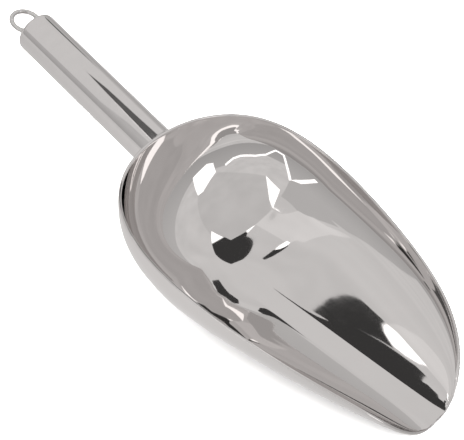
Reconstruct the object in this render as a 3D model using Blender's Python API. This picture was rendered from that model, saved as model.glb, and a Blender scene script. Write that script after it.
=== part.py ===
"""Stainless steel ice scoop: a deep-drawn bowl, a tube handle with a pressed end cap, a wire hanging
ring, and the welds that join them. Metres, +X forward to the lip, +Y to the left, +Z up.

The outline below is drawn with x = 0 at the back of the rim. The scoop empty then moves everything so
that the world origin is the middle of the whole object's footprint, on the surface it rests on.
"""

import math

import bmesh
import bpy
from mathutils import Matrix, Vector

# Bowl: outline of the rim seen from above, a smooth egg shape that is about 126 mm wide, a third of the way
# along. Its two powers say how blunt the back and the lip are, and the taper thins it towards the lip.
BOWL_LENGTH = 0.180
OUTLINE_SIZE = 0.1819
BACK_BLUNTNESS, LIP_BLUNTNESS = 0.50, 0.38
OUTLINE_TAPER = (1.0, -1.214, 1.055, -0.352)
FLOOR_MIDDLE = 0.060

# Bowl: heights and section
SHEET = 0.0015
BACK_HEIGHT = 0.0545
RIM_FALL = 0.61  # share of the back's height that the rim has lost where the lip begins
LIP_POWER = 14.0  # how suddenly the rim then drops to the lip
DOME_LENGTH, DOME_POWER = 0.056, 2.4  # how far along the bottom rises to the back, and how it starts to
WALL_ANGLE = 90.0  # steepness of the wall at the rim, in degrees, over the back
LIP_WALL_ANGLE = 65.0
WALL_EASES_FROM = 0.060
KEEL_FLAT_HALF_WIDTH = 0.006
KEEL_FLAT_START, KEEL_FLAT_FULL = 0.045, 0.065
CREASE_START, CREASE_FULL = 0.070, 0.095  # along the flat's two edges, from the dome to the lip
CREASE_STEEPNESS = 0.25  # how much the walls lean at once, as a share of their rise over their run
CREASE_ROUNDING = 0.0015
RIM_ROUNDING = 0.0005

# Handle: a tube whose axis rises towards its far end
TUBE_RADIUS = 0.011
TUBE_WALL = 0.0010
HANDLE_RISE = math.radians(12.4)
HANDLE_LENGTH = 0.0963  # along the axis, from under the back of the rim to the face of the end cap
HANDLE_BELOW_RIM = 0.0030
CAP_SKIRT = 0.0060
CAP_SHOULDER_RADIUS = 0.0032
CAP_WALL = 0.0010
SEAM_WIDTH = 0.0012

# Hanging ring: a wire loop that stands on the cap's face
RING_RADIUS = 0.0072
RING_CENTRE_OUT = 0.0060
WIRE_RADIUS = 0.0013

# Welds
FILLET_LEG = 0.0018
FILLET_HOLLOW = 0.0003  # how far the fillet's face dips below a flat one
FILLET_THROAT = 0.0006  # thickness of the fillet half way across
FILLET_TOE = 0.0002  # thickness where the fillet runs out on the bowl
BEAD_RADIUS = 0.0026
BEAD_HEIGHT = 0.0013

# Clearances between touching pieces
GAP = 0.0003
CLEAR_OF_SHELL = 0.0004  # along the handle's axis, which meets the shell at a slant

# Finish
STEEL_COLOUR = (0.66, 0.65, 0.64, 1.0)
MIRROR_ROUGHNESS = 0.06
SATIN_ROUGHNESS = 0.24
WIRE_ROUGHNESS = 0.18
WELD_ROUGHNESS = 0.32

# Resolution
RIM_STEPS = 36  # along each side, from the back to the lip
SHELL_RINGS = 18
ROUND_STEPS = 40
WIRE_STEPS = 12
ARC_STEPS = 5
RING_STEPS = 40
RIM_ROUNDING_STEPS = 2
BEAD_STEPS_ROUND, BEAD_STEPS_HIGH = 24, 12
SEARCH_INSIDE, SEARCH_OUTSIDE = -0.040, 0.020  # along the handle's axis, to either side of the bowl's back
BISECTIONS = 30
SHARP_ANGLE = 45.0  # degrees between faces, above which an edge stays sharp
SAME_POINT = 1e-6


def eased(value, start, end):
    share = min(1.0, max(0.0, (value - start) / (end - start)))
    return share * share * (3.0 - 2.0 * share)


# The bowl's outer surface


def half_width(x):
    share = min(1.0, max(0.0, x / BOWL_LENGTH))
    taper = sum(factor * share**power for power, factor in enumerate(OUTLINE_TAPER))
    return OUTLINE_SIZE * share**BACK_BLUNTNESS * (1.0 - share) ** LIP_BLUNTNESS * taper


def rim_height(x):
    share = min(1.0, max(0.0, x / BOWL_LENGTH))
    return BACK_HEIGHT * (1.0 - RIM_FALL * share) * (1.0 - share**LIP_POWER)


def keel_height(x):
    share = min(1.0, max(0.0, 1.0 - x / DOME_LENGTH))
    return BACK_HEIGHT * (1.0 - math.sqrt(1.0 - share**DOME_POWER))


def wall_angle(x):
    eased_share = eased(x, WALL_EASES_FROM, BOWL_LENGTH)
    return math.radians(WALL_ANGLE + (LIP_WALL_ANGLE - WALL_ANGLE) * eased_share)


def flat_half_width(x):
    return KEEL_FLAT_HALF_WIDTH * eased(x, KEEL_FLAT_START, KEEL_FLAT_FULL)


def crease_share(x):
    return eased(x, CREASE_START, CREASE_FULL)


def softly_past(distance, rounding):
    """A distance past the flat's edge, less a little, so that the wall leaves the flat in a small curve."""
    return distance * distance / max(distance + rounding, SAME_POINT)


def shell_height(x, y):
    """Height of the outer surface over a point inside the rim's outline: an arc from the keel's flat to the rim,
    with a crease where the two meet."""
    flat = flat_half_width(x)
    rounding = CREASE_ROUNDING * crease_share(x)
    run = max(SAME_POINT, half_width(x) - flat)
    past = max(0.0, abs(y) - flat)
    reach = min(1.0, softly_past(past, rounding) / softly_past(run, rounding))
    steepest = wall_angle(x)
    angle = math.asin(min(1.0, reach * math.sin(steepest)))
    section = (1.0 - math.cos(angle)) / (1.0 - math.cos(steepest))
    section += CREASE_STEEPNESS * crease_share(x) * reach * (1.0 - reach) ** 2
    rim = rim_height(x)
    keel = min(keel_height(x), rim)
    return keel + (rim - keel) * section


def rim_outline():
    """Points of the rim seen from above, all the way round, from the back along -Y to the lip and back."""
    stations = []
    for step in range(RIM_STEPS + 1):
        x = BOWL_LENGTH * (1.0 - math.cos(math.pi * step / RIM_STEPS)) / 2.0
        stations.append((x, -half_width(x)))
    other_side = [(x, -y) for x, y in reversed(stations[1:-1])]
    return stations + other_side


def in_bowl(point):
    """Whether a point lies on the inner side of the outer surface."""
    if point.x <= 0.0 or abs(point.y) >= half_width(point.x):
        return False
    return point.z > shell_height(point.x, point.y)


# Building blocks


def steel(name, roughness):
    material = bpy.data.materials.new(name)
    material.use_nodes = True
    shader = material.node_tree.nodes["Principled BSDF"]
    shader.inputs["Base Color"].default_value = STEEL_COLOUR
    shader.inputs["Metallic"].default_value = 1.0
    shader.inputs["Roughness"].default_value = roughness
    return material


def object_of(name, builder, material, parent):
    """The finished mesh as an object. A closed shape is turned to face outwards; an open sheet stays as built."""
    if all(edge.is_manifold for edge in builder.edges):
        bmesh.ops.recalc_face_normals(builder, faces=builder.faces)
    mesh = bpy.data.meshes.new(name)
    builder.to_mesh(mesh)
    builder.free()
    mesh.shade_smooth()
    mesh.set_sharp_from_angle(angle=math.radians(SHARP_ANGLE))
    mesh.materials.append(material)
    piece = bpy.data.objects.new(name, mesh)
    piece.parent = parent
    bpy.context.scene.collection.objects.link(piece)
    return piece


def empty_of(name, matrix, parent=None):
    empty = bpy.data.objects.new(name, None)
    empty.parent = parent
    empty.matrix_local = matrix
    bpy.context.scene.collection.objects.link(empty)
    return empty


def bridge_rings(builder, rings, closed=False):
    """Quads between rings of points that each go once round. A closed row joins its last ring to its first."""
    rows = [[builder.verts.new(point) for point in ring] for ring in rings]
    pairs = list(zip(rows, rows[1:]))
    if closed:
        pairs.append((rows[-1], rows[0]))
    for first, second in pairs:
        for index, vertex in enumerate(first):
            after = (index + 1) % len(first)
            builder.faces.new((vertex, first[after], second[after], second[index]))
    return rows


def lathe(profile):
    """Turns (radius, height) points round local Z. A profile that starts and ends on the axis is closed there."""
    builder = bmesh.new()
    path = [builder.verts.new((radius, 0.0, height)) for radius, height in profile]
    edges = [builder.edges.new(pair) for pair in zip(path, path[1:])]
    bmesh.ops.spin(
        builder,
        geom=path + edges,
        cent=(0.0, 0.0, 0.0),
        axis=(0.0, 0.0, 1.0),
        angle=math.tau,
        steps=ROUND_STEPS,
        use_merge=True,
    )
    bmesh.ops.remove_doubles(builder, verts=builder.verts, dist=SAME_POINT)
    return builder


def arc(centre, radius, start, end):
    """Points of a quarter-round in a (radius, height) profile, with angles in degrees from the radial direction."""
    angles = [math.radians(start + (end - start) * step / ARC_STEPS) for step in range(ARC_STEPS + 1)]
    return [(centre[0] + radius * math.cos(a), centre[1] + radius * math.sin(a)) for a in angles]


# The pieces


def make_bowl(material, parent):
    """The sheet's outer face, laid in rings round one point of the floor, then given its thickness inwards."""
    outline = rim_outline()
    rings = []
    for ring in range(1, SHELL_RINGS):
        spread = math.sin(math.pi / 2.0 * ring / SHELL_RINGS)
        seen_from_above = [(FLOOR_MIDDLE + spread * (x - FLOOR_MIDDLE), spread * y) for x, y in outline]
        rings.append([(x, y, shell_height(x, y)) for x, y in seen_from_above])
    rings.append([(x, y, rim_height(x)) for x, y in outline])
    builder = bmesh.new()
    inmost = bridge_rings(builder, rings)[0]
    centre = builder.verts.new((FLOOR_MIDDLE, 0.0, 0.0))
    for vertex, after in zip(inmost, inmost[1:] + inmost[:1]):
        builder.faces.new((centre, after, vertex))
    bowl = object_of("bowl", builder, material, parent)
    thickness = bowl.modifiers.new("sheet thickness", "SOLIDIFY")
    thickness.thickness = SHEET
    thickness.offset = -1.0
    thickness.use_even_offset = True
    rounding = bowl.modifiers.new("polished rim edge", "BEVEL")
    rounding.width = RIM_ROUNDING
    rounding.segments = RIM_ROUNDING_STEPS
    rounding.limit_method = "ANGLE"
    rounding.angle_limit = math.radians(SHARP_ANGLE)
    return bowl


def handle_matrix():
    """Local Z runs out along the handle, local X is its upper side, local Y stays the scoop's left."""
    height = BACK_HEIGHT - HANDLE_BELOW_RIM - TUBE_RADIUS / math.cos(HANDLE_RISE)
    return Matrix.Translation((0.0, 0.0, height)) @ Matrix.Rotation(HANDLE_RISE - math.pi / 2.0, 4, "Y")


def reach_to_shell(radius, angle):
    """Where a line along the handle, at this radius and angle round its axis, comes out of the bowl."""
    to_bowl = handle_matrix()
    inside, outside = SEARCH_INSIDE, SEARCH_OUTSIDE
    for _ in range(BISECTIONS):
        middle = (inside + outside) / 2.0
        point = to_bowl @ Vector((radius * math.cos(angle), radius * math.sin(angle), middle))
        if in_bowl(point):
            inside = middle
        else:
            outside = middle
    return outside + CLEAR_OF_SHELL


def ring_round_handle(radius, distance_at):
    """One ring of points round the handle, where distance_at gives how far out each angle's point is."""
    points = []
    for step in range(ROUND_STEPS):
        angle = math.tau * step / ROUND_STEPS
        points.append((radius * math.cos(angle), radius * math.sin(angle), distance_at(angle)))
    return points


def make_handle_tube(material, parent):
    """A tube whose front end is coped to the bowl's back, so that it stands off the bowl by a hair all round."""
    inner_radius = TUBE_RADIUS - TUBE_WALL
    tube_end = HANDLE_LENGTH - CAP_SKIRT - SEAM_WIDTH - 2.0 * GAP
    builder = bmesh.new()
    rings = [
        ring_round_handle(TUBE_RADIUS, lambda angle: reach_to_shell(TUBE_RADIUS, angle)),
        ring_round_handle(TUBE_RADIUS, lambda angle: tube_end),
        ring_round_handle(inner_radius, lambda angle: tube_end),
        ring_round_handle(inner_radius, lambda angle: reach_to_shell(inner_radius, angle)),
    ]
    bridge_rings(builder, rings, closed=True)
    return object_of("handle_tube", builder, material, parent)


def make_bowl_weld(material, parent):
    """The fillet that runs round the coped end: a hollow-faced wedge between the tube and the bowl."""
    root = TUBE_RADIUS + GAP
    toe = root + FILLET_LEG
    throat = (root + toe) / 2.0 - FILLET_HOLLOW
    builder = bmesh.new()
    rings = [
        ring_round_handle(root, lambda angle: reach_to_shell(root, angle)),
        ring_round_handle(root, lambda angle: reach_to_shell(root, angle) + FILLET_LEG),
        ring_round_handle(throat, lambda angle: reach_to_shell(throat, angle) + FILLET_THROAT),
        ring_round_handle(toe, lambda angle: reach_to_shell(toe, angle) + FILLET_TOE),
        ring_round_handle(toe, lambda angle: reach_to_shell(toe, angle)),
    ]
    bridge_rings(builder, rings, closed=True)
    return object_of("bowl_weld", builder, material, parent)


def make_end_cap(material, parent):
    """A pressed cup with a flat face and a rounded shoulder, its open side towards the tube."""
    inner_radius = TUBE_RADIUS - CAP_WALL
    inner_shoulder = CAP_SHOULDER_RADIUS - CAP_WALL
    shoulder_height = HANDLE_LENGTH - CAP_SHOULDER_RADIUS
    shoulder_centre = (TUBE_RADIUS - CAP_SHOULDER_RADIUS, shoulder_height)
    profile = [(0.0, HANDLE_LENGTH)]
    profile += arc(shoulder_centre, CAP_SHOULDER_RADIUS, 90.0, 0.0)
    profile += [(TUBE_RADIUS, HANDLE_LENGTH - CAP_SKIRT), (inner_radius, HANDLE_LENGTH - CAP_SKIRT)]
    profile += arc(shoulder_centre, inner_shoulder, 0.0, 90.0)
    profile += [(0.0, HANDLE_LENGTH - CAP_WALL)]
    return object_of("handle_end_cap", lathe(profile), material, parent)


def make_cap_seam(material, parent):
    """The butt weld between tube and cap, ground flush with both."""
    start = HANDLE_LENGTH - CAP_SKIRT - GAP - SEAM_WIDTH
    inner_radius = TUBE_RADIUS - TUBE_WALL
    builder = bmesh.new()
    corners = [(TUBE_RADIUS, start), (TUBE_RADIUS, start + SEAM_WIDTH)]
    corners += [(inner_radius, start + SEAM_WIDTH), (inner_radius, start)]
    rings = [ring_round_handle(radius, lambda angle, height=height: height) for radius, height in corners]
    bridge_rings(builder, rings, closed=True)
    return object_of("cap_seam_weld", builder, material, parent)


def wire_loop(wire_radius):
    """A whole ring of wire, its plane holding the handle's axis and the scoop's left and right."""
    centre = Vector((0.0, 0.0, HANDLE_LENGTH + RING_CENTRE_OUT))
    rings = []
    for step in range(RING_STEPS):
        turn = math.tau * step / RING_STEPS
        outward = Vector((0.0, math.sin(turn), math.cos(turn)))
        section = []
        for side in range(WIRE_STEPS):
            angle = math.tau * side / WIRE_STEPS
            offset = outward * math.cos(angle) + Vector((1.0, 0.0, 0.0)) * math.sin(angle)
            section.append(centre + outward * RING_RADIUS + offset * wire_radius)
        rings.append(section)
    builder = bmesh.new()
    bridge_rings(builder, rings, closed=True)
    return builder


def cut_off_below(builder, height):
    """Keeps what lies beyond this height on the handle's axis and closes the cut."""
    whole = builder.verts[:] + builder.edges[:] + builder.faces[:]
    cut = bmesh.ops.bisect_plane(
        builder, geom=whole, plane_co=(0.0, 0.0, height), plane_no=(0.0, 0.0, 1.0), clear_inner=True
    )
    open_edges = [item for item in cut["geom_cut"] if isinstance(item, bmesh.types.BMEdge)]
    bmesh.ops.holes_fill(builder, edges=open_edges, sides=0)


def make_hanging_ring(material, parent):
    """The loop's two legs stop on the cap's face."""
    builder = wire_loop(WIRE_RADIUS)
    cut_off_below(builder, HANDLE_LENGTH + GAP)
    return object_of("hanging_ring", builder, material, parent)


def leg_spread():
    """How far each of the ring's legs stands from the handle's axis, at the cap's face."""
    return math.sqrt(RING_RADIUS**2 - RING_CENTRE_OUT**2)


def make_ring_weld(name, side, wire_cutter, material, parent):
    """A low bead of weld round one leg of the ring."""
    builder = bmesh.new()
    bmesh.ops.create_uvsphere(
        builder, u_segments=BEAD_STEPS_ROUND, v_segments=BEAD_STEPS_HIGH, radius=1.0
    )
    bmesh.ops.scale(builder, vec=(BEAD_RADIUS, BEAD_RADIUS, BEAD_HEIGHT), verts=builder.verts)
    place = Vector((0.0, side * (leg_spread() + WIRE_RADIUS / 2.0), HANDLE_LENGTH))
    bmesh.ops.translate(builder, vec=place, verts=builder.verts)
    cut_off_below(builder, HANDLE_LENGTH + GAP)
    bead = object_of(name, builder, material, parent)
    passage = bead.modifiers.new("passage of the wire", "BOOLEAN")
    passage.operation = "DIFFERENCE"
    passage.object = wire_cutter
    return bead


def make_wire_cutter(material, parent):
    """A slightly thicker loop, which the weld beads are hollowed with."""
    cutter = object_of("wire_cutter", wire_loop(WIRE_RADIUS + GAP), material, parent)
    cutter.hide_render = True
    cutter.display_type = "WIRE"
    return cutter


def footprint_middle():
    """Half way along the whole object, from the ring's far side to the lip."""
    along = math.cos(HANDLE_RISE)
    ring_end = -along * (HANDLE_LENGTH + RING_CENTRE_OUT + RING_RADIUS) - WIRE_RADIUS
    return (ring_end + BOWL_LENGTH) / 2.0


def build():
    for leftover in list(bpy.data.objects):
        bpy.data.objects.remove(leftover, do_unlink=True)
    mirror_steel = steel("mirror steel", MIRROR_ROUGHNESS)
    satin_steel = steel("satin steel", SATIN_ROUGHNESS)
    wire_steel = steel("wire steel", WIRE_ROUGHNESS)
    weld_steel = steel("weld steel", WELD_ROUGHNESS)
    scoop = empty_of("scoop", Matrix.Translation((-footprint_middle(), 0.0, 0.0)))
    handle = empty_of("handle_axis", handle_matrix(), scoop)
    make_bowl(mirror_steel, scoop)
    make_bowl_weld(weld_steel, handle)
    make_handle_tube(satin_steel, handle)
    make_cap_seam(satin_steel, handle)
    make_end_cap(satin_steel, handle)
    make_hanging_ring(wire_steel, handle)
    cutter = make_wire_cutter(wire_steel, handle)
    make_ring_weld("ring_weld_left", 1.0, cutter, weld_steel, handle)
    make_ring_weld("ring_weld_right", -1.0, cutter, weld_steel, handle)


build()
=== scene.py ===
"""Stainless steel ice scoop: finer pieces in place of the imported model's, in a studio of light sheets."""

import math

import bmesh
import bpy
import numpy as np
from mathutils import Matrix, Vector


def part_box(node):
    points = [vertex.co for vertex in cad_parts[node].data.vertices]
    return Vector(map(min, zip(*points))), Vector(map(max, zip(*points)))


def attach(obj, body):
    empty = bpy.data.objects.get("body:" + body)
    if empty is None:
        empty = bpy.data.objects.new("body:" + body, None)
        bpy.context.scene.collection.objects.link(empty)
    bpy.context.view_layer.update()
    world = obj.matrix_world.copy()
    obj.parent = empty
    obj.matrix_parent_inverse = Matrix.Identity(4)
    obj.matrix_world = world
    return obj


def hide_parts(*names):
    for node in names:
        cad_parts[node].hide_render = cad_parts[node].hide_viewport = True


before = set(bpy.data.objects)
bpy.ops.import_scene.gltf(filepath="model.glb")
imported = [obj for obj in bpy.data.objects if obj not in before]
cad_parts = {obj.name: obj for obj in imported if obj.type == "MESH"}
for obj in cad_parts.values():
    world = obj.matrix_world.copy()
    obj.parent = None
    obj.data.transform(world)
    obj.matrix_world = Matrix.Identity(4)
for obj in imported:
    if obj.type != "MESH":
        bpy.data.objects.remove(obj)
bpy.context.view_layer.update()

# The scoop's own dimensions, the same as in the model (metres)
BOWL_LENGTH = 0.180
OUTLINE_SIZE = 0.1819
BACK_BLUNTNESS, LIP_BLUNTNESS = 0.50, 0.38
OUTLINE_TAPER = (1.0, -1.214, 1.055, -0.352)
FLOOR_MIDDLE = 0.060
SHEET = 0.0015
BACK_HEIGHT = 0.0545
RIM_FALL = 0.61
LIP_POWER = 14.0
DOME_LENGTH, DOME_POWER = 0.056, 2.4
WALL_ANGLE = 90.0
LIP_WALL_ANGLE = 65.0
WALL_EASES_FROM = 0.060
KEEL_FLAT_HALF_WIDTH = 0.006
KEEL_FLAT_START, KEEL_FLAT_FULL = 0.045, 0.065
CREASE_START, CREASE_FULL = 0.070, 0.095
CREASE_STEEPNESS = 0.25
CREASE_ROUNDING = 0.0015
SAME_POINT = 1e-6
TUBE_RADIUS = 0.011
TUBE_WALL = 0.0010
HANDLE_RISE = math.radians(12.4)
HANDLE_LENGTH = 0.0963
HANDLE_BELOW_RIM = 0.0030
CAP_SKIRT = 0.0060
CAP_SHOULDER_RADIUS = 0.0032
CAP_WALL = 0.0010
SEAM_WIDTH = 0.0012
RING_RADIUS = 0.0072
RING_CENTRE_OUT = 0.0060
WIRE_RADIUS = 0.0013
FILLET_LEG = 0.0018
GAP = 0.0003
CLEAR_OF_SHELL = 0.0004

# Finer shapes than the model's
RAYS = 400
SHELL_ROWS = 110
RAY_SAMPLES = 500
RIM_ROUNDING = 0.00055
RIM_ROWS = 5
TUBE_ROWS, TUBE_INNER_ROWS = 40, 12
SHOULDER_STEPS, INNER_SHOULDER_STEPS = 12, 8
FILLET_STEPS = 9
FILLET_TOE = 0.00012  # thickness where the fillet runs out on the bowl
FILLET_RISE = 0.92  # height of the fillet's face on the tube, as a share of its leg
CAP_POLE = 0.0004  # radius of the small disc in the middle of the cap's face
ROUND_STEPS = 128
WIRE_STEPS = 28
RING_STEPS = 120
SEARCH_INSIDE, SEARCH_OUTSIDE = -0.040, 0.020  # along the handle's axis, to either side of the bowl's back
BISECTIONS = 34
SHARP_ANGLE = 50.0
RIM_WEAR_REACH = 0.0035

BACK_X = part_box("bowl")[0].x  # the back of the rim stands here in the shared frame


def eased(value, start, end):
    share = np.clip((value - start) / (end - start), 0.0, 1.0)
    return share * share * (3.0 - 2.0 * share)


# The bowl's outer surface, as the model has it, for arrays of points


def half_width(x):
    share = np.clip(x / BOWL_LENGTH, 0.0, 1.0)
    taper = sum(factor * share**power for power, factor in enumerate(OUTLINE_TAPER))
    return OUTLINE_SIZE * share**BACK_BLUNTNESS * (1.0 - share) ** LIP_BLUNTNESS * taper


def rim_height(x):
    share = np.clip(x / BOWL_LENGTH, 0.0, 1.0)
    return BACK_HEIGHT * (1.0 - RIM_FALL * share) * (1.0 - share**LIP_POWER)


def keel_height(x):
    share = np.clip(1.0 - x / DOME_LENGTH, 0.0, 1.0)
    return BACK_HEIGHT * (1.0 - np.sqrt(1.0 - share**DOME_POWER))


def wall_angle(x):
    return np.radians(WALL_ANGLE + (LIP_WALL_ANGLE - WALL_ANGLE) * eased(x, WALL_EASES_FROM, BOWL_LENGTH))


def flat_half_width(x):
    return KEEL_FLAT_HALF_WIDTH * eased(x, KEEL_FLAT_START, KEEL_FLAT_FULL)


def crease_share(x):
    return eased(x, CREASE_START, CREASE_FULL)


def softly_past(distance, rounding):
    return distance * distance / np.maximum(distance + rounding, SAME_POINT)


def shell_height(x, y):
    flat = flat_half_width(x)
    rounding = CREASE_ROUNDING * crease_share(x)
    run = np.maximum(half_width(x) - flat, SAME_POINT)
    past = np.maximum(np.abs(y) - flat, 0.0)
    reach = np.minimum(softly_past(past, rounding) / softly_past(run, rounding), 1.0)
    steepest = wall_angle(x)
    angle = np.arcsin(np.clip(reach * np.sin(steepest), 0.0, 1.0))
    section = (1.0 - np.cos(angle)) / (1.0 - np.cos(steepest))
    section += CREASE_STEEPNESS * crease_share(x) * reach * (1.0 - reach) ** 2
    rim = rim_height(x)
    keel = np.minimum(keel_height(x), rim)
    return keel + (rim - keel) * section


# Building blocks


def object_of(name, builder):
    mesh = bpy.data.meshes.new(name)
    builder.to_mesh(mesh)
    builder.free()
    piece = bpy.data.objects.new(name, mesh)
    bpy.context.scene.collection.objects.link(piece)
    return piece


def mesh_of(name, points, faces):
    mesh = bpy.data.meshes.new(name)
    mesh.from_pydata([tuple(point) for point in points], [], faces)
    piece = bpy.data.objects.new(name, mesh)
    bpy.context.scene.collection.objects.link(piece)
    return piece


def band(first, second, count):
    """Quads between two rows of points that each go once round, given by their first points' numbers."""
    faces = []
    for index in range(count):
        after = (index + 1) % count
        faces.append((first + index, first + after, second + after, second + index))
    return faces


def rows_to_piece(name, rows):
    """A closed skin over rows that each go once round; the last row joins the first."""
    count = len(rows[0])
    faces = []
    for row in range(len(rows)):
        faces += band(row * count, (row + 1) % len(rows) * count, count)
    return mesh_of(name, np.concatenate(rows), faces)


def capped_piece(name, rows):
    """A skin over rows that each go once round, with one face over the first row and one over the last."""
    count = len(rows[0])
    last = (len(rows) - 1) * count
    faces = []
    for row in range(len(rows) - 1):
        faces += band(row * count, (row + 1) * count, count)
    faces.append(tuple(range(count)))
    faces.append(tuple(range(last, last + count)))
    return mesh_of(name, np.concatenate(rows), faces)


def settle_normals(piece):
    """Turns a closed skin to face outwards, smooth but for its sharp edges."""
    builder = bmesh.new()
    builder.from_mesh(piece.data)
    bmesh.ops.recalc_face_normals(builder, faces=builder.faces)
    builder.to_mesh(piece.data)
    builder.free()
    piece.data.shade_smooth()
    piece.data.set_sharp_from_angle(angle=math.radians(SHARP_ANGLE))
    return piece


# The bowl


def bowl_rays():
    """Rays over the outer surface, from one point of the floor to the rim.

    Gives each ray's points, the inward normals there, and the steps along the ray.
    """
    turn = np.linspace(0.0, math.tau, RAYS, endpoint=False)
    x_rim = BOWL_LENGTH * (1.0 - np.cos(turn)) / 2.0
    y_rim = np.where(turn < math.pi, -1.0, 1.0) * half_width(x_rim)
    spread = np.sin(np.linspace(0.0, math.pi / 2.0, RAY_SAMPLES + 1))[1:, None]
    x = FLOOR_MIDDLE + spread * (x_rim - FLOOR_MIDDLE)
    y = spread * y_rim
    z = shell_height(x, y)
    z[-1] = rim_height(x_rim)
    points = np.stack([x, y, z], axis=-1)
    along = np.gradient(points, axis=0)
    across = np.roll(points, -1, axis=1) - np.roll(points, 1, axis=1)
    normals = np.cross(across, along)
    normals /= np.linalg.norm(normals, axis=-1, keepdims=True)
    normals *= np.sign(normals[0, 0, 2])
    return points, normals, along


def by_length(points, field, shares, cut):
    """A field sampled along each ray at these shares of the ray's length, less a cut at the rim."""
    start = np.broadcast_to([FLOOR_MIDDLE, 0.0, 0.0], points[:1].shape)
    path = np.concatenate([start, points])
    steps = np.linalg.norm(np.diff(path, axis=0), axis=-1)
    length = np.cumsum(steps, axis=0)
    sampled = np.empty((len(shares), points.shape[1], 3))
    for ray in range(points.shape[1]):
        reach = shares * (length[-1, ray] - cut)
        for axis in range(3):
            sampled[:, ray, axis] = np.interp(reach, length[:, ray], field[:, ray, axis])
    return sampled


def make_bowl():
    """Outer face, half-round rim and inner face in one closed skin, with the rim's wear as a value."""
    points, normals, along = bowl_rays()
    shares = np.linspace(0.0, 1.0, SHELL_ROWS + 1)[1:]
    outer = by_length(points, points, shares, RIM_ROUNDING)
    inward = by_length(points, normals, shares, RIM_ROUNDING)
    inward /= np.linalg.norm(inward, axis=-1, keepdims=True)
    inner = outer + inward * SHEET
    rows = list(outer)
    up = along[-1] / np.linalg.norm(along[-1], axis=-1, keepdims=True)
    across_sheet = normals[-1]
    top = points[-1]
    centre = top + (across_sheet - up) * RIM_ROUNDING
    far_centre = top + across_sheet * (SHEET - RIM_ROUNDING) - up * RIM_ROUNDING
    for middle, side, angles in (
        (centre, -1.0, np.linspace(0.0, math.pi / 2.0, RIM_ROWS)[1:]),
        (far_centre, 1.0, np.linspace(math.pi / 2.0, 0.0, RIM_ROWS)[:-1]),
    ):
        for angle in angles:
            outward = side * across_sheet * math.cos(angle) + up * math.sin(angle)
            rows.append(middle + RIM_ROUNDING * outward)
    rows += list(inner[::-1])
    faces = []
    for row in range(len(rows) - 1):
        faces += band(row * RAYS, (row + 1) * RAYS, RAYS)
    vertices = np.concatenate(rows)
    vertices[:, 2] = np.maximum(vertices[:, 2], 0.0)
    under, above = len(vertices), len(vertices) + 1
    vertices = np.concatenate([vertices, [[FLOOR_MIDDLE, 0.0, 0.0], [FLOOR_MIDDLE, 0.0, SHEET]]])
    last = (len(rows) - 1) * RAYS
    for index in range(RAYS):
        after = (index + 1) % RAYS
        faces.append((under, after, index))
        faces.append((above, last + index, last + after))
    piece = mesh_of("polished_bowl", vertices + [BACK_X, 0.0, 0.0], faces)
    below_rim = rim_height(vertices[:, 0]) - vertices[:, 2]
    wear = piece.data.attributes.new("rim_wear", "FLOAT", "POINT")
    wear.data.foreach_set("value", 1.0 - eased(below_rim, 0.0, RIM_WEAR_REACH))
    return settle_normals(piece)


# The handle


def handle_matrix():
    height = BACK_HEIGHT - HANDLE_BELOW_RIM - TUBE_RADIUS / math.cos(HANDLE_RISE)
    tilt = Matrix.Rotation(HANDLE_RISE - math.pi / 2.0, 4, "Y")
    return Matrix.Translation((BACK_X, 0.0, height)) @ tilt


TO_WORLD = handle_matrix()


def place(points):
    """Points of the handle's own frame, in the shared frame."""
    matrix = np.array(TO_WORLD)
    return np.asarray(points) @ matrix[:3, :3].T + matrix[:3, 3]


def reach_to_shell(radius):
    """How far out along the handle the bowl's outer surface lies, all the way round at this radius."""
    turn = np.linspace(0.0, math.tau, ROUND_STEPS, endpoint=False)
    inside = np.full(ROUND_STEPS, SEARCH_INSIDE)
    outside = np.full(ROUND_STEPS, SEARCH_OUTSIDE)
    for _ in range(BISECTIONS):
        middle = (inside + outside) / 2.0
        spot = place(np.stack([radius * np.cos(turn), radius * np.sin(turn), middle], axis=-1))
        x = spot[:, 0] - BACK_X
        within = (x > 0.0) & (np.abs(spot[:, 1]) < half_width(np.maximum(x, 0.0)))
        within &= spot[:, 2] > shell_height(np.maximum(x, 0.0), spot[:, 1])
        inside = np.where(within, middle, inside)
        outside = np.where(within, outside, middle)
    return outside + CLEAR_OF_SHELL


def ring_round_handle(radius, distance):
    turn = np.linspace(0.0, math.tau, ROUND_STEPS, endpoint=False)
    distance = np.broadcast_to(distance, turn.shape)
    return np.stack([radius * np.cos(turn), radius * np.sin(turn), distance], axis=-1)


def make_tube():
    """A tube whose front end is coped to the bowl's back."""
    inner = TUBE_RADIUS - TUBE_WALL
    end = HANDLE_LENGTH - CAP_SKIRT - SEAM_WIDTH - GAP
    start_outer, start_inner = reach_to_shell(TUBE_RADIUS), reach_to_shell(inner)
    rows = []
    for share in np.linspace(0.0, 1.0, TUBE_ROWS):
        rows.append(ring_round_handle(TUBE_RADIUS, start_outer + (end - start_outer) * share))
    for share in np.linspace(1.0, 0.0, TUBE_INNER_ROWS):
        rows.append(ring_round_handle(inner, start_inner + (end - start_inner) * share))
    piece = rows_to_piece("brushed_tube", [place(row) for row in rows])
    return settle_normals(piece)


def make_fillet():
    """The hollow-faced weld that runs round the tube's coped end."""
    root = TUBE_RADIUS + GAP
    toe = root + FILLET_LEG
    rows = []
    for step in range(FILLET_STEPS):
        angle = step / (FILLET_STEPS - 1) * math.pi / 2.0
        radius = toe - FILLET_LEG * math.sin(angle)
        height = FILLET_LEG * FILLET_RISE * (1.0 - math.cos(angle)) + FILLET_TOE
        rows.append(ring_round_handle(radius, reach_to_shell(radius) + height))
    rows.append(ring_round_handle(root, reach_to_shell(root)))
    rows.append(ring_round_handle(toe, reach_to_shell(toe)))
    piece = rows_to_piece("fillet_weld", [place(row) for row in rows])
    return settle_normals(piece)


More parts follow.
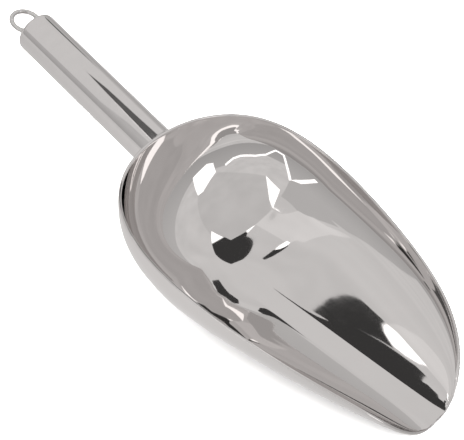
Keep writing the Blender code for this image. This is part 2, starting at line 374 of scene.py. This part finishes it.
def arc(centre, radius, start, end, steps):
    """Points of a quarter-round in a (radius, height) profile, with angles in degrees."""
    angles = [math.radians(start + (end - start) * step / steps) for step in range(steps + 1)]
    return [(centre[0] + radius * math.cos(a), centre[1] + radius * math.sin(a)) for a in angles]


def make_cap():
    """A pressed cup with a flat face and a rounded shoulder, its open side towards the tube."""
    inner_radius = TUBE_RADIUS - CAP_WALL
    shoulder_height = HANDLE_LENGTH - CAP_SHOULDER_RADIUS
    centre = (TUBE_RADIUS - CAP_SHOULDER_RADIUS, shoulder_height)
    profile = [(CAP_POLE, HANDLE_LENGTH)]
    profile += arc(centre, CAP_SHOULDER_RADIUS, 90.0, 0.0, SHOULDER_STEPS)
    profile += [(TUBE_RADIUS, HANDLE_LENGTH - CAP_SKIRT), (inner_radius, HANDLE_LENGTH - CAP_SKIRT)]
    profile += arc(centre, CAP_SHOULDER_RADIUS - CAP_WALL, 0.0, 90.0, INNER_SHOULDER_STEPS)
    profile += [(CAP_POLE, HANDLE_LENGTH - CAP_WALL)]
    rows = [place(ring_round_handle(radius, height)) for radius, height in profile]
    return settle_normals(capped_piece("pressed_cap", rows))


def make_seam():
    """The butt weld between tube and cap, ground flush with both."""
    start = HANDLE_LENGTH - CAP_SKIRT - GAP - SEAM_WIDTH
    end = HANDLE_LENGTH - CAP_SKIRT
    inner = TUBE_RADIUS - TUBE_WALL
    profile = [(TUBE_RADIUS, start), (TUBE_RADIUS, end), (inner, end), (inner, start)]
    rows = [place(ring_round_handle(radius, height)) for radius, height in profile]
    return settle_normals(rows_to_piece("ground_seam", rows))


def make_ring():
    """The wire's two legs stop on the cap's face."""
    swing = math.pi - math.acos(min(1.0, (RING_CENTRE_OUT - GAP) / RING_RADIUS))
    centre = np.array([0.0, 0.0, HANDLE_LENGTH + RING_CENTRE_OUT])
    rows = []
    for turn in np.linspace(-swing, swing, RING_STEPS):
        outward = np.array([0.0, math.sin(turn), math.cos(turn)])
        angles = np.linspace(0.0, math.tau, WIRE_STEPS, endpoint=False)[:, None]
        offset = outward * np.cos(angles) + np.array([1.0, 0.0, 0.0]) * np.sin(angles)
        row = centre + outward * RING_RADIUS + offset * WIRE_RADIUS
        row[:, 2] = np.maximum(row[:, 2], HANDLE_LENGTH + GAP)
        rows.append(place(row))
    return settle_normals(capped_piece("wire_ring", rows))


# Finishes

NOISE_LOW, NOISE_HIGH = 0.3, 0.7  # nearly all of a noise texture's values lie between these


class Finish:
    """A steel material, built up node by node over the Principled shader."""

    def __init__(self, name, colour):
        self.material = bpy.data.materials.new(name)
        self.material.use_nodes = True
        self.nodes = self.material.node_tree.nodes
        self.links = self.material.node_tree.links
        self.shader = self.nodes["Principled BSDF"]
        self.shader.inputs["Metallic"].default_value = 1.0
        self.colour = colour
        self.place = self.nodes.new("ShaderNodeTexCoord").outputs["Object"]
        self.normal = None

    def noise(self, stretch, detail=3.0, turn=0.0):
        """Noise whose grains measure these three lengths in metres, once turned about Y."""
        turned = self.nodes.new("ShaderNodeMapping")
        turned.inputs["Rotation"].default_value = (0.0, turn, 0.0)
        self.links.new(self.place, turned.inputs["Vector"])
        mapping = self.nodes.new("ShaderNodeMapping")
        mapping.inputs["Scale"].default_value = tuple(1.0 / length for length in stretch)
        self.links.new(turned.outputs["Vector"], mapping.inputs["Vector"])
        texture = self.nodes.new("ShaderNodeTexNoise")
        texture.inputs["Scale"].default_value = 1.0
        texture.inputs["Detail"].default_value = detail
        self.links.new(mapping.outputs["Vector"], texture.inputs["Vector"])
        return texture.outputs["Fac"]

    def ranged(self, value, low, high, start=NOISE_LOW, end=NOISE_HIGH):
        node = self.nodes.new("ShaderNodeMapRange")
        node.inputs["From Min"].default_value = start
        node.inputs["From Max"].default_value = end
        node.inputs["To Min"].default_value = low
        node.inputs["To Max"].default_value = high
        self.links.new(value, node.inputs["Value"])
        return node.outputs["Result"]

    def sum(self, first, second):
        node = self.nodes.new("ShaderNodeMath")
        node.operation = "ADD"
        self.links.new(first, node.inputs[0])
        self.links.new(second, node.inputs[1])
        return node.outputs[0]

    def attribute(self, name):
        node = self.nodes.new("ShaderNodeAttribute")
        node.attribute_name = name
        return node.outputs["Fac"]

    def rough(self, value):
        self.links.new(value, self.shader.inputs["Roughness"])

    def tinted(self, value, spread):
        """Lets the colour drift by this share to either side."""
        node = self.nodes.new("ShaderNodeMix")
        node.data_type = "RGBA"
        node.inputs["A"].default_value = (*(channel * (1.0 - spread) for channel in self.colour), 1.0)
        node.inputs["B"].default_value = (*(channel * (1.0 + spread) for channel in self.colour), 1.0)
        self.links.new(value, node.inputs["Factor"])
        self.links.new(node.outputs["Result"], self.shader.inputs["Base Color"])

    def bumped(self, value, depth):
        """Raises the surface by this depth in metres where the value is 1."""
        node = self.nodes.new("ShaderNodeBump")
        node.inputs["Strength"].default_value = 1.0
        node.inputs["Distance"].default_value = depth
        self.links.new(value, node.inputs["Height"])
        if self.normal:
            self.links.new(self.normal, node.inputs["Normal"])
        self.normal = node.outputs["Normal"]
        self.links.new(self.normal, self.shader.inputs["Normal"])


def mirror_steel():
    """Buffed sheet, almost a mirror: the faint waves of deep drawing, a buffing haze and a worn rim."""
    finish = Finish("mirror_steel", (0.71, 0.69, 0.683))
    waves = finish.noise((0.030, 0.022, 0.026), detail=1.0)
    haze = finish.noise((0.012, 0.010, 0.012), detail=5.0)
    buffing = finish.noise((0.0080, 0.0004, 0.0010), detail=4.0)
    wear = finish.attribute("rim_wear")
    finish.tinted(haze, 0.02)
    smooth = finish.sum(finish.ranged(haze, 0.012, 0.035), finish.ranged(buffing, 0.0, 0.015))
    finish.rough(finish.sum(smooth, finish.ranged(wear, 0.0, 0.04, 0.0, 1.0)))
    finish.bumped(waves, 0.00006)
    finish.bumped(buffing, 0.0000004)
    return finish.material


def satin_steel():
    """Tube and cap, rubbed with a fine belt: thin rings round the handle and a soft shine."""
    finish = Finish("satin_steel", (0.72, 0.70, 0.695))
    rings = finish.noise((0.00025, 0.006, 0.006), detail=3.0, turn=-HANDLE_RISE)
    rub = finish.noise((0.004, 0.010, 0.010), detail=4.0, turn=-HANDLE_RISE)
    waves = finish.noise((0.045, 0.016, 0.016), detail=1.0, turn=-HANDLE_RISE)
    finish.tinted(rub, 0.025)
    finish.rough(finish.sum(finish.ranged(rub, 0.045, 0.085), finish.ranged(rings, 0.0, 0.02)))
    finish.bumped(waves, 0.00003)
    finish.bumped(rings, 0.0000012)
    return finish.material


def wire_steel():
    """Drawn wire: draw lines run along it."""
    finish = Finish("wire_steel", (0.66, 0.65, 0.64))
    lines = finish.noise((0.0030, 0.0030, 0.00025), detail=3.0, turn=-HANDLE_RISE)
    patches = finish.noise((0.002, 0.002, 0.002), detail=3.0)
    finish.tinted(patches, 0.05)
    finish.rough(finish.sum(finish.ranged(patches, 0.12, 0.22), finish.ranged(lines, 0.0, 0.08)))
    finish.bumped(lines, 0.000006)
    return finish.material


def weld_steel():
    """Weld metal, brushed clean: small ripples and a duller, spotted surface."""
    finish = Finish("weld_steel", (0.64, 0.63, 0.615))
    ripples = finish.noise((0.0016, 0.0009, 0.0009), detail=2.0)
    spots = finish.noise((0.0007, 0.0007, 0.0007), detail=3.0)
    finish.tinted(spots, 0.07)
    finish.rough(finish.ranged(spots, 0.20, 0.38))
    finish.bumped(ripples, 0.00008)
    return finish.material


mirror = mirror_steel()
satin = satin_steel()
wire = wire_steel()
weld = weld_steel()


def finish_piece(piece, node, material):
    piece.data.materials.clear()
    piece.data.materials.append(material)
    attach(piece, "root")
    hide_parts(node)


finish_piece(make_bowl(), "bowl", mirror)
finish_piece(make_tube(), "handle_tube", satin)
finish_piece(make_fillet(), "bowl_weld", weld)
finish_piece(make_cap(), "handle_end_cap", satin)
finish_piece(make_seam(), "cap_seam_weld", satin)
finish_piece(make_ring(), "hanging_ring", wire)
for name in ("ring_weld_left", "ring_weld_right"):
    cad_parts[name].material_slots[0].material = weld


# The studio: sheets of light and card that hang level above the scoop and far out to its sides, a ribbon of
# light round it and a dimly glowing floor, all seen in the steel only; a pale floor that the steel doesn't
# mirror; and soft lamps that light it. The sheets' corners count from the back of the bowl's rim, in metres.

LOW_HEIGHT = 0.15  # the sheets over the handle
NEAR_HEIGHT = 0.90  # the card that the bowl's dome mirrors; it hangs off to the scoop's left
FAR_HEIGHT = 4.00  # the first of the far sheets; the ribbon stands this far off too
SHEET_STEP = 0.012  # each far sheet hangs this far under the one before
WARM_WHITE = (1.0, 0.985, 0.975)
LAMP_STRENGTH, CARD_STRENGTH = 1.9, 0.05
FLOOR_IN_STEEL = 0.72  # strength of the floor that the steel mirrors
WALL_FOOT, WALL_TOP = 0.46, 0.60  # strength of the walls at the horizon, and from WALL_EASES_TO up
WALL_EASES_TO = 0.5  # sine of the angle above the horizon
FLOOR_RADIUS = 6.0
FLOOR_GAP = 0.001  # the mirrored floor lies this far under the pale one
OVERHEAD_POWER, SIDE_POWER = 330.0, 90.0


def glow(name, strength, unevenness=0.0, grain=1.0):
    """Light that comes off a surface; uneven by this share, in soft patches of this many metres."""
    material = bpy.data.materials.new(name)
    material.use_nodes = True
    nodes, links = material.node_tree.nodes, material.node_tree.links
    nodes.remove(nodes["Principled BSDF"])
    emission = nodes.new("ShaderNodeEmission")
    emission.inputs["Color"].default_value = (*WARM_WHITE, 1.0)
    position = nodes.new("ShaderNodeTexCoord")
    patches = nodes.new("ShaderNodeTexNoise")
    patches.inputs["Scale"].default_value = 1.0 / grain
    patches.inputs["Detail"].default_value = 1.0
    level = nodes.new("ShaderNodeMapRange")
    level.inputs["From Min"].default_value = NOISE_LOW
    level.inputs["From Max"].default_value = NOISE_HIGH
    level.inputs["To Min"].default_value = strength * (1.0 - unevenness)
    level.inputs["To Max"].default_value = strength * (1.0 + unevenness)
    links.new(position.outputs["Object"], patches.inputs["Vector"])
    links.new(patches.outputs["Fac"], level.inputs["Value"])
    links.new(level.outputs["Result"], emission.inputs["Strength"])
    links.new(emission.outputs[0], nodes["Material Output"].inputs["Surface"])
    return material


def seen_in_steel_only(piece):
    piece.visible_camera = False
    piece.visible_diffuse = False
    piece.visible_shadow = False


def hang_sheet(name, height, material, corners):
    points = [(x + BACK_X, y, height) for x, y in corners]
    sheet = mesh_of(name, points, [tuple(range(len(points)))])
    sheet.data.materials.append(material)
    seen_in_steel_only(sheet)


def toward(azimuth, elevation):
    """A direction; azimuth runs from +X towards +Y, both in degrees."""
    a, e = math.radians(azimuth), math.radians(elevation)
    return Vector((math.cos(a) * math.cos(e), math.sin(a) * math.cos(e), math.sin(e)))


def strip_lamp(name, material, width, directions):
    """A ribbon of light that bends its way round the scoop, through these azimuths and elevations."""
    spots = [FAR_HEIGHT * toward(azimuth, elevation) for azimuth, elevation in directions]
    points = []
    for order, spot in enumerate(spots):
        along = spots[min(order + 1, len(spots) - 1)] - spots[max(order - 1, 0)]
        across = along.cross(spot).normalized() * width / 2.0
        points += [spot - across, spot + across]
    faces = [(row, row + 1, row + 3, row + 2) for row in range(0, len(points) - 2, 2)]
    ribbon = mesh_of(name, points, faces)
    ribbon.data.materials.append(material)
    seen_in_steel_only(ribbon)


def hang_sheets(sheets):
    """The far sheets, each a little under the one before and so in front of it."""
    for order, (name, material, corners) in enumerate(sheets):
        hang_sheet(name, FAR_HEIGHT - SHEET_STEP * order, material, corners)


white = glow("white_light", LAMP_STRENGTH)
dark = glow("dark_card", CARD_STRENGTH)

hang_sheets(
    (
        (
            "ceiling",
            glow("ceiling", 0.76, 0.05, 1.5),
            (
                (-11.0, 6.1),
                (1.3, 6.2),
                (3.6, 5.8),
                (7.8, 5.6),
                (14.6, 5.0),
                (11.0, -1.7),
                (13.0, -3.9),
                (13.5, -6.2),
                (10.0, -9.0),
                (10.0, -13.7),
                (2.7, -12.6),
                (0.4, -6.1),
                (0.0, -2.9),
                (-0.45, -2.5),
                (-1.7, -2.95),
                (-3.35, -4.85),
                (-5.1, -7.0),
                (-11.0, -14.0),
            ),
        ),
        (
            "front_sheet",
            glow("front_sheet", 0.68, 0.04, 1.5),
            ((9.2, -0.15), (2.55, -4.35), (-0.2, -1.4), (-0.47, 0.35), (-0.35, 1.4), (0.6, 2.05), (6.0, 2.5)),
        ),
        (
            "lamp_beside_back",
            white,
            ((15.5, 5.7), (24.3, 3.2), (19.6, 0.8), (9.8, 0.1), (5.9, 1.85), (5.8, 2.45)),
        ),
        ("lamp_beside_front", white, ((2.55, -4.35), (0.4, -3.5), (-0.2, -1.55), (0.35, -2.0))),
        ("lamp_corner", white, ((0.95, 1.85), (0.1, 1.55), (0.1, 2.4))),
        ("lamp_sliver", white, ((-0.37, -0.11), (-0.52, 0.51), (-0.37, 0.50))),
        (
            "bright_field",
            glow("bright_field", 0.88, 0.05, 1.5),
            (
                (-1.25, 0.05),
                (-1.5, -0.95),
                (-1.95, -2.3),
                (-2.75, -3.85),
                (-1.95, -2.9),
                (-0.45, -2.5),
                (-0.2, -1.4),
                (-0.37, -0.1),
                (-0.9, 0.0),
            ),
        ),
        (
            "lamp_over_lip",
            white,
            (
                (-1.03, 0.73),
                (-1.12, 0.55),
                (-1.19, 0.34),
                (-1.25, 0.07),
                (-1.22, -0.1),
                (-0.98, -0.1),
                (-0.94, 0.3),
                (-0.98, 0.61),
            ),
        ),
        (
            "lip_card",
            dark,
            ((-0.61, 1.15), (-0.72, 1.0), (-0.79, 1.2), (-0.87, 1.6), (-0.9, 2.4), (-0.58, 2.4)),
        ),
        ("wall_card", dark, ((-2.1, 4.6), (-2.5, 4.9), (-2.9, 5.6), (-2.95, 6.0), (-2.5, 6.1), (-2.1, 5.4))),
        (
            "trough_card",
            dark,
            (
                (-1.25, 0.07),
                (-1.3, 0.2),
                (-1.27, 0.95),
                (-1.29, 1.4),
                (-1.33, 1.7),
                (-1.25, 1.62),
                (-1.13, 1.28),
                (-1.05, 1.0),
                (-1.0, 0.8),
                (-1.03, 0.73),
                (-1.12, 0.55),
                (-1.19, 0.34),
            ),
        ),
    )
)

hang_sheet(
    "dome_card",
    NEAR_HEIGHT,
    dark,
    (
        (-0.058, 0.14),
        (-0.086, 0.145),
        (-0.162, 0.295),
        (-0.286, 0.537),
        (-0.368, 0.728),
        (-0.133, 0.662),
        (0.04, 0.555),
        (0.04, 0.346),
        (-0.045, 0.33),
    ),
)

hang_sheet(
    "handle_sheet",
    LOW_HEIGHT + SHEET_STEP,
    glow("handle_sheet", 0.76),
    (
        (-0.200, -0.220),
        (-0.110, -0.220),
        (-0.050, -0.110),
        (-0.012, -0.100),
        (-0.012, 0.100),
        (-0.200, 0.100),
    ),
)

hang_sheet(
    "handle_card",
    LOW_HEIGHT,
    glow("grey_card", 0.13),
    ((-0.069, -0.014), (-0.041, -0.033), (-0.016, -0.049), (-0.014, 0.030), (-0.030, 0.017), (-0.054, 0.006)),
)

hang_sheet(
    "handle_lamp",
    LOW_HEIGHT,
    white,
    ((-0.053, -0.029), (-0.041, -0.034), (-0.016, -0.050), (-0.016, -0.053), (-0.041, -0.036)),
)

strip_lamp(
    "strip_lamp",
    white,
    0.16,
    (
        (-9, 20),
        (-17, 16),
        (-25, 15),
        (-42, 16),
        (-54, 13),
        (-64, 4),
        (-73, 6),
        (-78, 17),
        (-87, 33),
        (-91, 29),
        (-94, 23),
        (-99, 13),
    ),
)


def softbox(name, azimuth, elevation, distance, size, power):
    """A big soft lamp that lights the floor."""
    light = bpy.data.lights.new(name, "AREA")
    light.shape = "RECTANGLE"
    light.size, light.size_y = size
    light.energy = power
    lamp = bpy.data.objects.new(name, light)
    bpy.context.scene.collection.objects.link(lamp)
    outward = toward(azimuth, elevation)
    lamp.location = outward * distance
    lamp.rotation_euler = outward.to_track_quat("Z", "Y").to_euler()
    lamp.visible_camera = False
    lamp.visible_glossy = False


def disc(name, radius, height):
    builder = bmesh.new()
    bmesh.ops.create_circle(builder, cap_ends=True, segments=96, radius=radius)
    bmesh.ops.translate(builder, vec=(0.0, 0.0, height), verts=builder.verts)
    return object_of(name, builder)


def make_floor():
    """White paper for the camera, and under it an unevenly glowing disc that the steel mirrors instead."""
    floor = disc("floor", FLOOR_RADIUS, 0.0)
    paper = bpy.data.materials.new("paper")
    paper.use_nodes = True
    shader = paper.node_tree.nodes["Principled BSDF"]
    shader.inputs["Base Color"].default_value = (0.93, 0.93, 0.93, 1.0)
    shader.inputs["Roughness"].default_value = 0.9
    floor.data.materials.append(paper)
    floor.visible_glossy = False
    mirrored = disc("mirrored_floor", FLOOR_RADIUS, -FLOOR_GAP)
    mirrored.data.materials.append(glow("mirrored_floor", FLOOR_IN_STEEL, 0.14, 0.35))
    seen_in_steel_only(mirrored)


def make_world():
    """Walls that grow lighter from the floor up."""
    world = bpy.data.worlds.new("studio")
    bpy.context.scene.world = world
    world.use_nodes = True
    nodes, links = world.node_tree.nodes, world.node_tree.links
    walls = nodes["Background"]
    walls.inputs["Color"].default_value = (*WARM_WHITE, 1.0)
    direction = nodes.new("ShaderNodeTexCoord")
    split = nodes.new("ShaderNodeSeparateXYZ")
    level = nodes.new("ShaderNodeMapRange")
    level.inputs["From Min"].default_value = 0.0
    level.inputs["From Max"].default_value = WALL_EASES_TO
    level.inputs["To Min"].default_value = WALL_FOOT
    level.inputs["To Max"].default_value = WALL_TOP
    links.new(direction.outputs["Generated"], split.inputs[0])
    links.new(split.outputs["Z"], level.inputs["Value"])
    links.new(level.outputs["Result"], walls.inputs["Strength"])


make_world()
make_floor()
softbox("overhead", azimuth=0.0, elevation=90.0, distance=3.0, size=(5.0, 5.0), power=OVERHEAD_POWER)
for quarter in range(0, 360, 90):
    name = f"side_{quarter}"
    softbox(name, azimuth=quarter + 20.0, elevation=35.0, distance=3.2, size=(3.0, 3.0), power=SIDE_POWER)

# The camera

CAMERA_AZIMUTH, CAMERA_ELEVATION, CAMERA_ROLL = 33.31, 41.75, 11.85
CAMERA_DISTANCE = 0.600
FOCAL_SHARE = 2.7261  # focal length over the picture's width
CAMERA_RIGHT, CAMERA_UP = -0.009006, 0.002887
AIM = Vector((0.060 + BACK_X, 0.0, 0.035))


def make_camera():
    azimuth, elevation, roll = (math.radians(a) for a in (CAMERA_AZIMUTH, CAMERA_ELEVATION, CAMERA_ROLL))
    back = Vector(
        (
            math.sin(azimuth) * math.cos(elevation),
            -math.cos(azimuth) * math.cos(elevation),
            math.sin(elevation),
        )
    )
    level = Vector((math.cos(azimuth), math.sin(azimuth), 0.0))
    upright = back.cross(level)
    right = level * math.cos(roll) + upright * math.sin(roll)
    up = upright * math.cos(roll) - level * math.sin(roll)
    lens = bpy.data.cameras.new("camera")
    lens.sensor_width = 36.0
    lens.sensor_fit = "HORIZONTAL"
    lens.lens = FOCAL_SHARE * lens.sensor_width
    lens.clip_start = 0.01
    camera = bpy.data.objects.new("camera", lens)
    bpy.context.scene.collection.objects.link(camera)
    turn = Matrix((right, up, back)).transposed().to_4x4()
    spot = AIM + right * CAMERA_RIGHT + up * CAMERA_UP + back * CAMERA_DISTANCE
    camera.matrix_world = Matrix.Translation(spot) @ turn
    bpy.context.scene.camera = camera


make_camera()
bpy.context.scene.view_settings.view_transform = "Standard"
